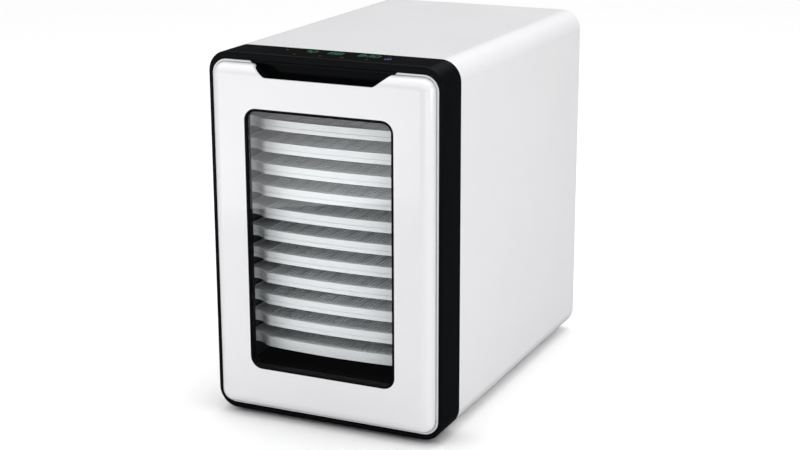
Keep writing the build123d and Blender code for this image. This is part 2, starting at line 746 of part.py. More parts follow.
with BuildPart() as motor_housing:
    rod(0, fan_z, motor_radius, motor_y, motor_back_y)
    fillet(motor_housing.faces().sort_by(Axis.Y)[-1].edges(), radius=can_edge)
    rod(0, fan_z, motor_radius - can_wall, motor_y + can_end, motor_back_y - can_end, Mode.SUBTRACT)
    rod(0, fan_z, bearing_radius, motor_y - through, motor_back_y + through, Mode.SUBTRACT)
save(motor_housing, "motor_housing")

with BuildPart() as motor_stator:
    rod(0, fan_z, motor_radius - can_wall, *stator_y)
    rod(0, fan_z, stator_inner_radius, motor_y, motor_back_y, Mode.SUBTRACT)
save(motor_stator, "motor_stator")

with BuildPart() as motor_bearings:
    for start in (motor_y, motor_back_y - bearing_length):
        rod(0, fan_z, bearing_radius, start, start + bearing_length)
    rod(0, fan_z, shaft_radius + running_clearance, motor_y - through, motor_back_y + through,
        Mode.SUBTRACT)
save(motor_bearings, "motor_bearings")

with BuildPart() as motor_shaft:
    rod(0, fan_z, shaft_radius, *shaft_y)
    chamfer(motor_shaft.faces().sort_by(Axis.Y)[0].edges(), length=0.2 * shaft_radius)
save(motor_shaft, "motor_shaft")

with BuildPart() as motor_rotor:
    rod(0, fan_z, rotor_radius, *rotor_y)
    rod(0, fan_z, shaft_radius, motor_y, motor_back_y, Mode.SUBTRACT)
save(motor_rotor, "motor_rotor")

# Fan: pitched blades round a hub, held on the shaft by a nut.
hub_y = (fan_y - 8.0, fan_y + 10.0)
blade_root = 2.0
blade_length = fan_radius - fan_hub_radius + blade_root / 2
blade_chord = 34.0
blade_corner = 12.0
blade_thickness = 1.8
nut_radius = 6.0
nut_height = 5.0
pitch = radians(fan_blade_pitch)

with BuildPart() as fan_blades:
    rod(0, fan_z, fan_hub_radius, hub_y[0], hub_y[1])
    for number in range(fan_blade_count):
        angle = 2 * pi * number / fan_blade_count
        blade_plane = Plane(origin=(0, fan_y, fan_z), x_dir=(cos(angle), 0, sin(angle)),
                            z_dir=(-sin(pitch) * sin(angle), cos(pitch), sin(pitch) * cos(angle)))
        with BuildSketch(blade_plane):
            with Locations((fan_hub_radius - blade_root + blade_length / 2, 0)):
                RectangleRounded(blade_length, blade_chord, blade_corner)
        extrude(amount=blade_thickness / 2, both=True)
    rod(0, fan_z, shaft_radius, fan_y - fan_gap, fan_y + fan_gap, Mode.SUBTRACT)
save(fan_blades, "fan_blades")

with BuildPart() as fan_nut:
    with BuildSketch(upright(hub_y[0])):
        with Locations((0, fan_z)):
            RegularPolygon(nut_radius, 6)
            Circle(shaft_radius, mode=Mode.SUBTRACT)
    extrude(amount=nut_height)
save(fan_nut, "fan_nut")

# Power board on four standoffs above the base plate.
power_x = (-98.0, -18.0)
power_y = (baffle_back_y + 14.0, baffle_back_y + 92.0)
power_z = base_plate_top + 8.0
standoff_radius = 3.0
standoff_inset = 5.0
board_blocks = [((-88.0, -60.0), (12.0, 36.0), 22.0), ((-50.0, -32.0), (12.0, 36.0), 15.0),
                ((-86.0, -58.0), (52.0, 64.0), 12.0)]
capacitor_place = (-38.0, 58.0)
capacitor_size = (8.0, 26.0)

with BuildPart() as board_standoffs:
    with Locations((sum(power_x) / 2, sum(power_y) / 2, base_plate_top)):
        with GridLocations(power_x[1] - power_x[0] - 2 * standoff_inset,
                           power_y[1] - power_y[0] - 2 * standoff_inset, 2, 2):
            Cylinder(standoff_radius, power_z - base_plate_top, align=(Align.CENTER, Align.CENTER, Align.MIN))
save(board_standoffs, "board_standoffs")

with BuildPart() as power_board:
    block(power_x, power_y, (power_z, power_z + board_thickness))
    component_z = power_z + board_thickness
    for x_range, (near_y, far_y), height in board_blocks:
        block(x_range, (power_y[0] + near_y, power_y[0] + far_y), (component_z, component_z + height))
    with Locations((capacitor_place[0], power_y[0] + capacitor_place[1], component_z)):
        Cylinder(*capacitor_size, align=(Align.CENTER, Align.CENTER, Align.MIN))
save(power_board, "power_board")


# ================================================================ door
# Front panel: white shell with rolled edges all round, a window opening and a notch in its top
# edge for the hand.
def crowned_block(inset, front, edge_radius):
    """Solid with the door's outline, rolled over along its front edges, standing on the door's rim."""
    with BuildPart() as crowned:
        with BuildSketch(upright(front_y)):
            outline(door_half - inset, door_bottom + inset, door_top - inset, door_corner_radius - inset)
        extrude(amount=front_y - front)
        fillet(crowned.faces().sort_by(Axis.Y)[0].edges(), radius=edge_radius)
    return crowned.part


grip_lip_z = base_z + grip_lip_height
grip_reach_z = door_top + 6.0
grip_slope = (grip_top_half - grip_bottom_half) / (door_top - grip_lip_z)
grip_corner = 9.0


def grip_notch():
    """Notch in the front panel's top edge: a trapezoid with rounded lower corners."""
    high_half = grip_bottom_half + grip_slope * (grip_reach_z - grip_lip_z)
    with BuildLine() as notch_edge:
        FilletPolyline((-high_half, grip_reach_z), (-grip_bottom_half, grip_lip_z),
                       (grip_bottom_half, grip_lip_z), (high_half, grip_reach_z), radius=grip_corner)
        Line((high_half, grip_reach_z), (-high_half, grip_reach_z))
    make_face(notch_edge.edges())


def grip_cup(growth, bottom):
    """Cup behind the notch: its outline grown by a margin, with upright sides down to a height."""
    low_half = grip_bottom_half + growth
    high_half = low_half + grip_slope * (grip_reach_z - grip_lip_z)
    with BuildLine() as cup_edge:
        Polyline((-high_half, grip_reach_z), (-low_half, grip_lip_z), (-low_half, bottom),
                 (low_half, bottom), (low_half, grip_lip_z), (high_half, grip_reach_z), close=True)
    make_face(cup_edge.edges())


skin_inner_y = skin_front_y + skin_wall
door_wall = 2.5
door_wall_y = door_back_y - door_wall
boss_radius = 3.6
boss_bore_start = 4.0
boss_x = 116.0
lower_boss_x = 50.0
boss_heights = (33.0, 215.0, 370.0)
boss_places = [(side * boss_x, base_z + height) for side in (-1, 1) for height in boss_heights]
boss_places += [(side * lower_boss_x, base_z + boss_heights[0]) for side in (-1, 1)]
crowned_outside = crowned_block(door_rim, skin_front_y, crown_radius)
crowned_inside = crowned_block(door_rim + skin_wall, skin_inner_y, crown_radius - skin_wall)
grip_envelope = crowned_block(door_rim + skin_wall + clearance / 2, skin_inner_y + clearance / 2,
                              crown_radius - skin_wall)
window_half = window_width / 2

with BuildPart() as door_front_panel:
    add(crowned_outside)
    add(crowned_inside, mode=Mode.SUBTRACT)
    with BuildSketch(upright(front_y)):
        outline(window_half, base_z + window_bottom, base_z + window_top, window_radius)
    extrude(amount=2 * door_stand_out, mode=Mode.SUBTRACT)
    with BuildSketch(upright(front_y)):
        grip_notch()
    extrude(amount=2 * door_stand_out, mode=Mode.SUBTRACT)
    for x, z in boss_places:
        rod(x, z, boss_radius, skin_inner_y - overlap, door_wall_y)
    for x, z in boss_places:
        rod(x, z, screw_radius, skin_inner_y + boss_bore_start, door_wall_y + through, Mode.SUBTRACT)
save(door_front_panel, "door_front_panel")

# Window: black trim ring flush with the front panel, glass behind it, a gasket, and a retainer
# that holds both and lines the opening through the door.
window_low = base_z + window_bottom
window_high = base_z + window_top
glass_y = skin_inner_y + glass_thickness
gasket_y = glass_y + gasket_thickness
trim_chamfer = 1.2
glass_margin = 5.5
gasket_margin = 1.0
retainer_half = window_half + 10.5
retainer_inner = window_half + 6.5
retainer_margin = 9.0
retainer_opening = 5.0
retainer_outer_radius = window_radius + 4.0
ledge_length = 10.0
ledge_top = window_low + 1.0


def window_outline(margin, mode=Mode.ADD, radius=window_radius):
    """The window's outline grown by a margin."""
    outline(window_half + margin, window_low - margin, window_high + margin, radius, mode)


with BuildPart() as window_trim:
    with BuildSketch(upright(skin_inner_y)):
        window_outline(-running_clearance)
        window_outline(-window_trim_width, Mode.SUBTRACT, window_radius - window_trim_width)
    extrude(amount=skin_wall)
    chamfer(window_trim.faces().sort_by(Axis.Y)[0].inner_wires().edges(), length=trim_chamfer)
save(window_trim, "window_trim")

with BuildPart() as window_glass:
    with BuildSketch(upright(glass_y)):
        window_outline(glass_margin)
    extrude(amount=glass_thickness)
save(window_glass, "window_glass")

with BuildPart() as glass_gasket:
    with BuildSketch(upright(gasket_y)):
        window_outline(glass_margin)
        window_outline(gasket_margin, Mode.SUBTRACT)
    extrude(amount=gasket_thickness)
save(glass_gasket, "glass_gasket")

with BuildPart() as glass_retainer:
    with BuildSketch(upright(door_back_y)):
        outline(retainer_half, window_low - retainer_margin, window_high + retainer_margin,
                retainer_outer_radius)
        outline(retainer_inner, window_low - retainer_opening, window_high + retainer_opening,
                window_radius, Mode.SUBTRACT)
    extrude(amount=door_back_y - gasket_y)
    block((-retainer_inner - through, retainer_inner + through), (gasket_y, gasket_y + ledge_length),
          (window_low - retainer_opening - through, ledge_top))
save(glass_retainer, "glass_retainer")

# Inner frame: white tray-shaped moulding whose rim shows round the front panel. It carries the
# hinge bushes, the strike plates and the seal, and its heel is rounded to turn into the recess.
rim_groove_width = 1.0
rim_groove_depth = 1.5
rim_edge = 0.8
strike_thickness = 1.0
inner_rim_radius = door_corner_radius - door_rim_wall
groove_outer = door_rim - rim_groove_width

with BuildPart() as door_inner_frame:
    with BuildSketch(upright(door_back_y)):
        outline(door_half, door_bottom, door_top, door_corner_radius)
    extrude(amount=door_thickness)
    heel = door_inner_frame.faces().sort_by(Axis.Y)[-1].edges().sort_by(Axis.Z)[0]
    fillet(heel, radius=door_heel_radius)
    fillet(door_inner_frame.faces().sort_by(Axis.Y)[0].edges(), radius=rim_edge)
    with BuildSketch(upright(door_wall_y)):
        outline(door_half - door_rim_wall, door_bottom + door_rim_wall, door_top - door_rim_wall,
                inner_rim_radius)
    extrude(amount=door_thickness, mode=Mode.SUBTRACT)
    with BuildSketch(upright(front_y + rim_groove_depth)):
        outline(door_half - groove_outer, door_bottom + groove_outer, door_top - groove_outer,
                door_corner_radius - groove_outer)
        outline(door_half - door_rim, door_bottom + door_rim, door_top - door_rim,
                door_corner_radius - door_rim, Mode.SUBTRACT)
    extrude(amount=door_thickness, mode=Mode.SUBTRACT)
    with BuildSketch(upright(door_back_y + through)):
        outline(retainer_half + clearance / 2, window_low - retainer_margin - clearance / 2,
                window_high + retainer_margin + clearance / 2, retainer_outer_radius)
    extrude(amount=door_wall + 2 * through, mode=Mode.SUBTRACT)
    with BuildSketch(upright(door_wall_y)):
        grip_cup(grip_wall + clearance / 2, grip_lip_z - grip_pocket_depth)
    extrude(amount=door_thickness, mode=Mode.SUBTRACT)
    hinge_bore(hinge_bush_radius, 3 * door_half)
    for x, z in boss_places:
        rod(x, z, screw_radius, door_wall_y - through, door_back_y + through, Mode.SUBTRACT)
    fitting_pair((door_back_y - strike_thickness, door_back_y + through), Mode.SUBTRACT)
save(door_inner_frame, "door_inner_frame")

with BuildPart() as strike_plates:
    fitting_pair((door_back_y - strike_thickness, door_back_y))
save(strike_plates, "strike_plates")

# A bush ends flush with the door's side, or short of the pocket's corner where that curves in.
corner_reach = max(0.0, pocket_bottom + pocket_radius - (hinge_z - hinge_bush_radius))
pocket_edge_x = pocket_half - pocket_radius + (pocket_radius**2 - corner_reach**2)**0.5
bush_x = (door_half - door_rim_wall, min(door_half, pocket_edge_x - running_clearance))

with BuildPart() as hinge_bushes:
    for side in (-1, 1):
        with Locations(Location((side * sum(bush_x) / 2, hinge_y, hinge_z), (0, 90, 0))):
            Cylinder(hinge_bush_radius, bush_x[1] - bush_x[0])
    hinge_bore(hinge_pin_radius + running_clearance, 3 * door_half)
save(hinge_bushes, "hinge_bushes")

door_screw_length = 14.0
door_screw = pan_screw(screw_radius, door_screw_length, *screw_head)
with BuildPart() as door_screws:
    for x, z in boss_places:
        with Locations(Plane(origin=(x, door_back_y, z), z_dir=(0, 1, 0))):
            add(door_screw)
save(door_screws, "door_screws")

# Grip insert: gloss-black cup behind the notch, deep enough for fingertips to hook the panel.
cup_bottom = grip_lip_z - grip_pocket_depth + clearance / 2
cup_back_y = door_wall_y - clearance / 2
cup_floor_z = grip_lip_z - grip_pocket_depth + grip_wall
cup_cap_height = 20.0
cup_top_wall = 1.5

with BuildPart() as grip_insert:
    with BuildSketch(upright(front_y)):
        grip_cup(grip_wall, cup_bottom)
    extrude(amount=door_stand_out)
    add(grip_envelope, mode=Mode.INTERSECT)
    with BuildSketch(upright(cup_back_y)):
        grip_cup(grip_wall, cup_bottom)
        with Locations((0, door_top)):
            Rectangle(body_width, cup_cap_height, align=(Align.CENTER, Align.MIN), mode=Mode.SUBTRACT)
    extrude(amount=cup_back_y - front_y)
    with BuildSketch(upright(cup_back_y - grip_wall)):
        grip_cup(0, cup_floor_z)
        with Locations((0, door_top - cup_top_wall)):
            Rectangle(body_width, cup_cap_height, align=(Align.CENTER, Align.MIN), mode=Mode.SUBTRACT)
    extrude(amount=2 * door_stand_out + door_thickness, mode=Mode.SUBTRACT)
save(grip_insert, "grip_insert")

# Door seal: soft ring on the back of the door that meets the front frame's flange.
seal_width = 4.5
seal_margin = 8.0
seal_radii = (6.0, 3.0)
seal_inner_margin = seal_margin - seal_width
seal_thickness = frame_flange_depth - door_thickness - clearance

with BuildPart() as door_seal:
    with BuildSketch(upright(door_back_y + seal_thickness)):
        outline(chamber_half + seal_margin, chamber_bottom - seal_margin, chamber_top + seal_margin,
                seal_radii[0])
        outline(chamber_half + seal_inner_margin, chamber_bottom - seal_inner_margin,
                chamber_top + seal_inner_margin, seal_radii[1], Mode.SUBTRACT)
    extrude(amount=seal_thickness)
save(door_seal, "door_seal")
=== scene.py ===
from math import pi, radians
import bmesh
import bpy
from mathutils import Matrix, Vector


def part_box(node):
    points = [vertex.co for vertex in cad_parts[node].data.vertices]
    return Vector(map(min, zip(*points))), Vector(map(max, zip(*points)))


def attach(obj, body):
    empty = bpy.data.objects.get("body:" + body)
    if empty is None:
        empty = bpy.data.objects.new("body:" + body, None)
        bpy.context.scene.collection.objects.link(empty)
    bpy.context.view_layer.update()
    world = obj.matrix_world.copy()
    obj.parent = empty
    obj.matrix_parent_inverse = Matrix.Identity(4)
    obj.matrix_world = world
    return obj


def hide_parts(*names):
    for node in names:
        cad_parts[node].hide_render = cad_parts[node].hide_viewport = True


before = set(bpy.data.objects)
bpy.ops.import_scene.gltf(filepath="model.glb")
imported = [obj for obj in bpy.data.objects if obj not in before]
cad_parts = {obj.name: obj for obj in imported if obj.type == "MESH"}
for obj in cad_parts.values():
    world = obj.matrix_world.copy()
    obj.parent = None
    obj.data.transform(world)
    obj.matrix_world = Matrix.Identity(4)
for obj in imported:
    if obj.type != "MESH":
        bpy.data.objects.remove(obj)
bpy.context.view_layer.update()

# ---------------------------------------------------------------------------
# Floor, camera and light. A pale sweep of card under the cabinet, a camera a
# little above and to the right of the door, and large soft boxes round it.
# ---------------------------------------------------------------------------
door_plane_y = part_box("front_frame")[0].y
casing_floor_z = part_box("front_frame")[0].z

eye = Vector((0.84367, door_plane_y - 1.62479, casing_floor_z + 0.75649))
turn_left = radians(24.78)
look_down = radians(15.77)
roll = radians(-0.20)
film_width_mm = 36.0
lens_mm = 75.83
camera_data = bpy.data.cameras.new("photo_camera")
camera_data.sensor_width = film_width_mm
camera_data.lens = lens_mm
camera = bpy.data.objects.new("photo_camera", camera_data)
camera.matrix_world = (Matrix.Translation(eye) @ Matrix.Rotation(turn_left, 4, "Z")
                       @ Matrix.Rotation(pi / 2 - look_down, 4, "X") @ Matrix.Rotation(roll, 4, "Z"))
bpy.context.scene.collection.objects.link(camera)
bpy.context.scene.camera = camera
bpy.context.scene.view_settings.view_transform = "Standard"


def soft_box(name, place, aim, size, watts):
    """A large rectangular white light at a place, turned to face a point."""
    lamp_data = bpy.data.lights.new(name, "AREA")
    lamp_data.shape = "RECTANGLE"
    lamp_data.size, lamp_data.size_y = size
    lamp_data.energy = watts
    lamp = bpy.data.objects.new(name, lamp_data)
    facing = (Vector(aim) - Vector(place)).to_track_quat("-Z", "Y")
    lamp.matrix_world = Matrix.Translation(place) @ facing.to_matrix().to_4x4()
    bpy.context.scene.collection.objects.link(lamp)


soft_box("left_card", place=(-0.42, -0.84, 0.30), aim=(0, -0.2, 0.08), size=(0.60, 0.52), watts=1.4)
soft_box("right_front_box", place=(1.10, -1.10, 0.25), aim=(0.05, -0.2, 0.05), size=(0.7, 0.5), watts=1.3)
soft_box("right_box", place=(1.6, -0.12, 0.45), aim=(0.15, 0, 0.15), size=(0.8, 0.8), watts=6.0)
soft_box("top_box", place=(0.1, 0.3, 1.9), aim=(0, 0.1, 0.3), size=(1.2, 1.2), watts=9.0)

# The air is bright overhead and falls away to a dim band all round the horizon.
low_slope, high_slope = 0.28, 0.75
dim_strength, bright_strength = 0.03, 1.45
world = bpy.data.worlds.new("studio_air")
world.use_nodes = True
air = world.node_tree
direction = air.nodes.new("ShaderNodeSeparateXYZ")
air.links.new(air.nodes.new("ShaderNodeTexCoord").outputs["Generated"], direction.inputs["Vector"])
overhead = air.nodes.new("ShaderNodeMapRange")
overhead.interpolation_type = "SMOOTHSTEP"
air.links.new(direction.outputs["Z"], overhead.inputs["Value"])
overhead.inputs["From Min"].default_value = low_slope
overhead.inputs["From Max"].default_value = high_slope
overhead.inputs["To Min"].default_value = dim_strength
overhead.inputs["To Max"].default_value = bright_strength
air.links.new(overhead.outputs["Result"], air.nodes["Background"].inputs["Strength"])
air.nodes["Background"].inputs["Color"].default_value = (1.0, 1.0, 1.0, 1)
bpy.context.scene.world = world


def add_object(name, mesh):
    """Put a mesh in the scene as an object at the origin."""
    piece = bpy.data.objects.new(name, mesh)
    bpy.context.scene.collection.objects.link(piece)
    return piece


def mesh_from(name, work):
    """Finish a bmesh as a named mesh and free it."""
    mesh = bpy.data.meshes.new(name)
    work.to_mesh(mesh)
    work.free()
    return mesh


def new_material(name, colour, roughness, **sockets):
    """A Principled material with its plain numbers set on the shader's own sockets."""
    material = bpy.data.materials.new(name)
    material.use_nodes = True
    shader = material.node_tree.nodes["Principled BSDF"]
    shader.inputs["Base Color"].default_value = (*colour, 1)
    shader.inputs["Roughness"].default_value = roughness
    for socket, value in sockets.items():
        shader.inputs[socket.replace("_", " ")].default_value = value
    return material, material.node_tree, shader


floor_half_size = 12.0
floor_material, tree, shader = new_material("pale_card", colour=(0.93, 0.93, 0.93), roughness=0.9)
# The card isn't mirrored in gloss or glass, so black parts and the window stay clear.
ray_path = tree.nodes.new("ShaderNodeLightPath")
unmirrored = tree.nodes.new("ShaderNodeBsdfTransparent")
card_choice = tree.nodes.new("ShaderNodeMixShader")
tree.links.new(ray_path.outputs["Glossy Depth"], card_choice.inputs["Fac"])
tree.links.new(shader.outputs["BSDF"], card_choice.inputs[1])
tree.links.new(unmirrored.outputs["BSDF"], card_choice.inputs[2])
tree.links.new(card_choice.outputs["Shader"], tree.nodes["Material Output"].inputs["Surface"])
floor_work = bmesh.new()
bmesh.ops.create_grid(floor_work, x_segments=1, y_segments=1, size=floor_half_size)
floor = add_object("floor", mesh_from("floor", floor_work))
floor.data.materials.append(floor_material)

# ---------------------------------------------------------------------------
# Outer casing and rear cover. A pressed shell in gloss white enamel, and a
# flat moulded cover with air slots, set into its back and screwed on.
# ---------------------------------------------------------------------------


def new_group(name, inputs, outputs):
    """An empty shader node group with named number inputs and outputs."""
    group = bpy.data.node_groups.new(name, "ShaderNodeTree")
    for socket, value in inputs.items():
        item = group.interface.new_socket(socket, in_out="INPUT", socket_type="NodeSocketFloat")
        item.default_value = value
    for socket in outputs:
        group.interface.new_socket(socket, in_out="OUTPUT", socket_type="NodeSocketFloat")
    return group, group.nodes.new("NodeGroupInput"), group.nodes.new("NodeGroupOutput")


def math_node(tree, operation, first, second):
    """A maths node fed by sockets or plain numbers."""
    node = tree.nodes.new("ShaderNodeMath")
    node.operation = operation
    for socket, value in zip(node.inputs, (first, second)):
        if isinstance(value, (int, float)):
            socket.default_value = value
        else:
            tree.links.new(value, socket)
    return node.outputs[0]


def noise_node(tree, vector, scale, detail=3.0, rough=0.55):
    """Noise on a vector, its scale a number or a socket."""
    node = tree.nodes.new("ShaderNodeTexNoise")
    node.inputs["Detail"].default_value = detail
    node.inputs["Roughness"].default_value = rough
    tree.links.new(vector, node.inputs["Vector"])
    if isinstance(scale, (int, float)):
        node.inputs["Scale"].default_value = scale
    else:
        tree.links.new(scale, node.inputs["Scale"])
    return node.outputs["Fac"]


def band(tree, value, given, wanted):
    """Map a band of values to another, clamped."""
    node = tree.nodes.new("ShaderNodeMapRange")
    tree.links.new(value, node.inputs["Value"])
    node.inputs["From Min"].default_value, node.inputs["From Max"].default_value = given
    node.inputs["To Min"].default_value, node.inputs["To Max"].default_value = wanted
    return node.outputs["Result"]


# The fine grain and slow waviness of a moulding, with the waviness again as a mottle of tone.
grain_group, group_in, group_out = new_group(
    "moulding_grain", {"Grain Scale": 900.0, "Wave Scale": 14.0, "Wave Share": 0.4}, ("Height", "Mottle"))
place = grain_group.nodes.new("ShaderNodeTexCoord").outputs["Object"]
fine = noise_node(grain_group, place, group_in.outputs["Grain Scale"], detail=2.0)
slow = noise_node(grain_group, place, group_in.outputs["Wave Scale"], detail=4.0)
waves = math_node(grain_group, "MULTIPLY", slow, group_in.outputs["Wave Share"])
grain_group.links.new(math_node(grain_group, "ADD", fine, waves), group_out.inputs["Height"])
grain_group.links.new(slow, group_out.inputs["Mottle"])

# The film that hands and wiping leave on a gloss: broad smears, and thin upright streaks.
streak_stretch = (1.0, 1.0, 0.06)
streak_lean = (0.15, 0.1, 0.3)
film_group, group_in, group_out = new_group(
    "handling_film", {"Film Scale": 9.0, "Streak Scale": 70.0}, ("Film", "Streaks"))
place = film_group.nodes.new("ShaderNodeTexCoord").outputs["Object"]
stretch = film_group.nodes.new("ShaderNodeMapping")
stretch.inputs["Scale"].default_value = streak_stretch
stretch.inputs["Rotation"].default_value = streak_lean
film_group.links.new(place, stretch.inputs["Vector"])
smears = noise_node(film_group, place, group_in.outputs["Film Scale"], detail=6.0, rough=0.65)
streaks = noise_node(film_group, stretch.outputs["Vector"], group_in.outputs["Streak Scale"])
film_group.links.new(band(film_group, smears, (0.30, 0.80), (0.0, 1.0)), group_out.inputs["Film"])
film_group.links.new(band(film_group, streaks, (0.58, 0.75), (0.0, 1.0)), group_out.inputs["Streaks"])

# The line rubbed pale along an edge, broken into patches.
wear_group, group_in, group_out = new_group("edge_rub", {"Width": 0.0012, "Patch Scale": 40.0}, ("Rub",))
rounded = wear_group.nodes.new("ShaderNodeBevel")
rounded.samples = 4
wear_group.links.new(group_in.outputs["Width"], rounded.inputs["Radius"])
flat = wear_group.nodes.new("ShaderNodeNewGeometry")
across = wear_group.nodes.new("ShaderNodeVectorMath")
across.operation = "DOT_PRODUCT"
wear_group.links.new(rounded.outputs["Normal"], across.inputs[0])
wear_group.links.new(flat.outputs["Normal"], across.inputs[1])
place = wear_group.nodes.new("ShaderNodeTexCoord").outputs["Object"]
patches = noise_node(wear_group, place, group_in.outputs["Patch Scale"], detail=5.0)
edge = band(wear_group, across.outputs["Value"], (0.99, 0.80), (0.0, 1.0))
broken = band(wear_group, patches, (0.35, 0.7), (0.15, 1.0))
wear_group.links.new(math_node(wear_group, "MULTIPLY", edge, broken), group_out.inputs["Rub"])


def effect(tree, group, **values):
    """Place a node group in a material with its own values."""
    node = tree.nodes.new("ShaderNodeGroup")
    node.node_tree = group
    for socket, value in values.items():
        node.inputs[socket.replace("_", " ")].default_value = value
    return node


def mixed_colour(tree, mask, first, second):
    """Blend two plain colours, or a colour socket and a colour, by a mask."""
    node = tree.nodes.new("ShaderNodeMix")
    node.data_type = "RGBA"
    tree.links.new(mask, node.inputs["Factor"])
    if isinstance(first, tuple):
        node.inputs["A"].default_value = (*first, 1)
    else:
        tree.links.new(first, node.inputs["A"])
    node.inputs["B"].default_value = (*second, 1)
    return node.outputs["Result"]


def set_bump(tree, shader, height, distance):
    """Feed a height to the shader's normal at full strength."""
    node = tree.nodes.new("ShaderNodeBump")
    node.inputs["Distance"].default_value = distance
    node.inputs["Strength"].default_value = 1.0
    tree.links.new(height, node.inputs["Height"])
    tree.links.new(node.outputs["Normal"], shader.inputs["Normal"])


rub_share = 0.55
streak_share = 0.6
lacquer_roughness = 0.06


def moulded(name, colour, shade, worn, roughness, grain=900.0, depth=0.00001, coat=0.0, gloss=0.5):
    """A moulded plastic or painted finish: mottled colour, rubbed edges, smeared gloss and fine grain."""
    material, tree, shader = new_material(name, colour, roughness[0], Coat_Weight=coat,
                                          Coat_Roughness=lacquer_roughness, Specular_IOR_Level=gloss)
    grain_node = effect(tree, grain_group, Grain_Scale=grain)
    film_node = effect(tree, film_group)
    wear_node = effect(tree, wear_group)
    tone = mixed_colour(tree, grain_node.outputs["Mottle"], colour, shade)
    rubbed = math_node(tree, "MULTIPLY", wear_node.outputs["Rub"], rub_share)
    tree.links.new(mixed_colour(tree, rubbed, tone, worn), shader.inputs["Base Color"])
    streaked = math_node(tree, "MULTIPLY", film_node.outputs["Streaks"], streak_share)
    smear = math_node(tree, "MAXIMUM", film_node.outputs["Film"], streaked)
    tree.links.new(band(tree, smear, (0.0, 1.0), roughness), shader.inputs["Roughness"])
    set_bump(tree, shader, grain_node.outputs["Height"], depth)
    return material


join_distance = 1e-6
sliver_length = 1e-7
crease_angle = radians(28)
bevel_angle = radians(40)


def smooth_copy(node, name, body, material, bevel=0.0, shape=None):
    """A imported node's mesh with its triangles joined, its flats kept flat and its curves shaded smooth."""
    work = bmesh.new()
    work.from_mesh(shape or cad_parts[node].data)
    bmesh.ops.remove_doubles(work, verts=work.verts, dist=join_distance)
    bmesh.ops.dissolve_degenerate(work, edges=work.edges, dist=sliver_length)
    for face in work.faces:
        face.smooth = True
    for edge in work.edges:
        edge.smooth = edge.calc_face_angle(pi) < crease_angle
    piece = add_object(name, mesh_from(name, work))
    piece.data.materials.append(material)
    if bevel:
        rounding = piece.modifiers.new("softened_edges", "BEVEL")
        rounding.width = bevel
        rounding.segments = 2
        rounding.limit_method = "ANGLE"
        rounding.angle_limit = bevel_angle
    flats = piece.modifiers.new("flat_faces_first", "WEIGHTED_NORMAL")
    flats.keep_sharp = True
    flats.weight = 100
    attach(piece, body)
    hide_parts(node)
    return piece


def finish_node(node, material):
    """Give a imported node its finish."""
    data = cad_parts[node].data
    data.materials.clear()
    data.materials.append(material)


enamel_white = moulded("enamel_white", colour=(0.80, 0.80, 0.81), shade=(0.77, 0.77, 0.785),
                       worn=(0.62, 0.62, 0.62), roughness=(0.30, 0.36),
                       grain=420.0, depth=0.000012, coat=0.25)
cover_white = moulded("cover_white", colour=(0.74, 0.745, 0.75), shade=(0.70, 0.705, 0.715),
                      worn=(0.58, 0.58, 0.58), roughness=(0.42, 0.55), grain=1500.0, depth=0.00003)
smooth_copy("outer_casing", "casing_shell", "housing", enamel_white)
smooth_copy("rear_cover", "rear_cover_panel", "housing", cover_white)

# ---------------------------------------------------------------------------
# Base plate, feet and screws. A zinc-coated sheet closes the underside, four
# soft rubber feet stand under the corners, and plated cross-head screws hold
# every panel.
# ---------------------------------------------------------------------------
cloud_scale = 30.0
line_depth = 0.00001


def plated(name, colour, darker, roughness, stretch, grain=260.0):
    """Bare or plated metal with a fine grain, drawn out along an axis, and a slow change of tone."""
    material, tree, shader = new_material(name, colour, roughness[0], Metallic=1.0)
    place = tree.nodes.new("ShaderNodeTexCoord").outputs["Object"]
    drawn = tree.nodes.new("ShaderNodeMapping")
    drawn.inputs["Scale"].default_value = stretch
    tree.links.new(place, drawn.inputs["Vector"])
    lines = noise_node(tree, drawn.outputs["Vector"], grain, detail=4.0, rough=0.7)
    clouds = noise_node(tree, place, cloud_scale, detail=5.0)
    tree.links.new(mixed_colour(tree, clouds, colour, darker), shader.inputs["Base Color"])
    tree.links.new(band(tree, lines, (0.3, 0.7), roughness), shader.inputs["Roughness"])
    set_bump(tree, shader, lines, line_depth)
    return material


zinc_sheet = plated("zinc_sheet", colour=(0.62, 0.63, 0.64), darker=(0.50, 0.51, 0.53),
                    roughness=(0.30, 0.48), stretch=(0.05, 1.0, 1.0))
screw_zinc = plated("screw_zinc", colour=(0.58, 0.58, 0.60), darker=(0.42, 0.42, 0.44),
                    roughness=(0.25, 0.42), stretch=(1.0, 1.0, 1.0), grain=900.0)
foot_rubber = moulded("foot_rubber", colour=(0.022, 0.022, 0.023), shade=(0.035, 0.034, 0.034),
                      worn=(0.07, 0.07, 0.07), roughness=(0.72, 0.86), grain=1400.0, depth=0.00006)
finish_node("base_plate", zinc_sheet)
smooth_copy("feet", "rubber_feet", "housing", foot_rubber)
for group in ("base_screws", "foot_screws", "rear_cover_screws", "inlet_screws", "bracket_screws"):
    smooth_copy(group, group + "_zinc", "housing", screw_zinc)

# ---------------------------------------------------------------------------
# Power inlet. A black appliance socket with three flat brass pins, low on the
# back.
# ---------------------------------------------------------------------------
socket_black = moulded("socket_black", colour=(0.016, 0.016, 0.017), shade=(0.022, 0.022, 0.023),
                       worn=(0.06, 0.06, 0.06), roughness=(0.38, 0.52), grain=1200.0, depth=0.00002)
pin_brass = plated("pin_brass", colour=(0.72, 0.58, 0.30), darker=(0.60, 0.46, 0.22),
                   roughness=(0.22, 0.38), stretch=(1.0, 0.08, 1.0), grain=700.0)
smooth_copy("power_inlet", "inlet_socket", "housing", socket_black)
finish_node("inlet_pins", pin_brass)

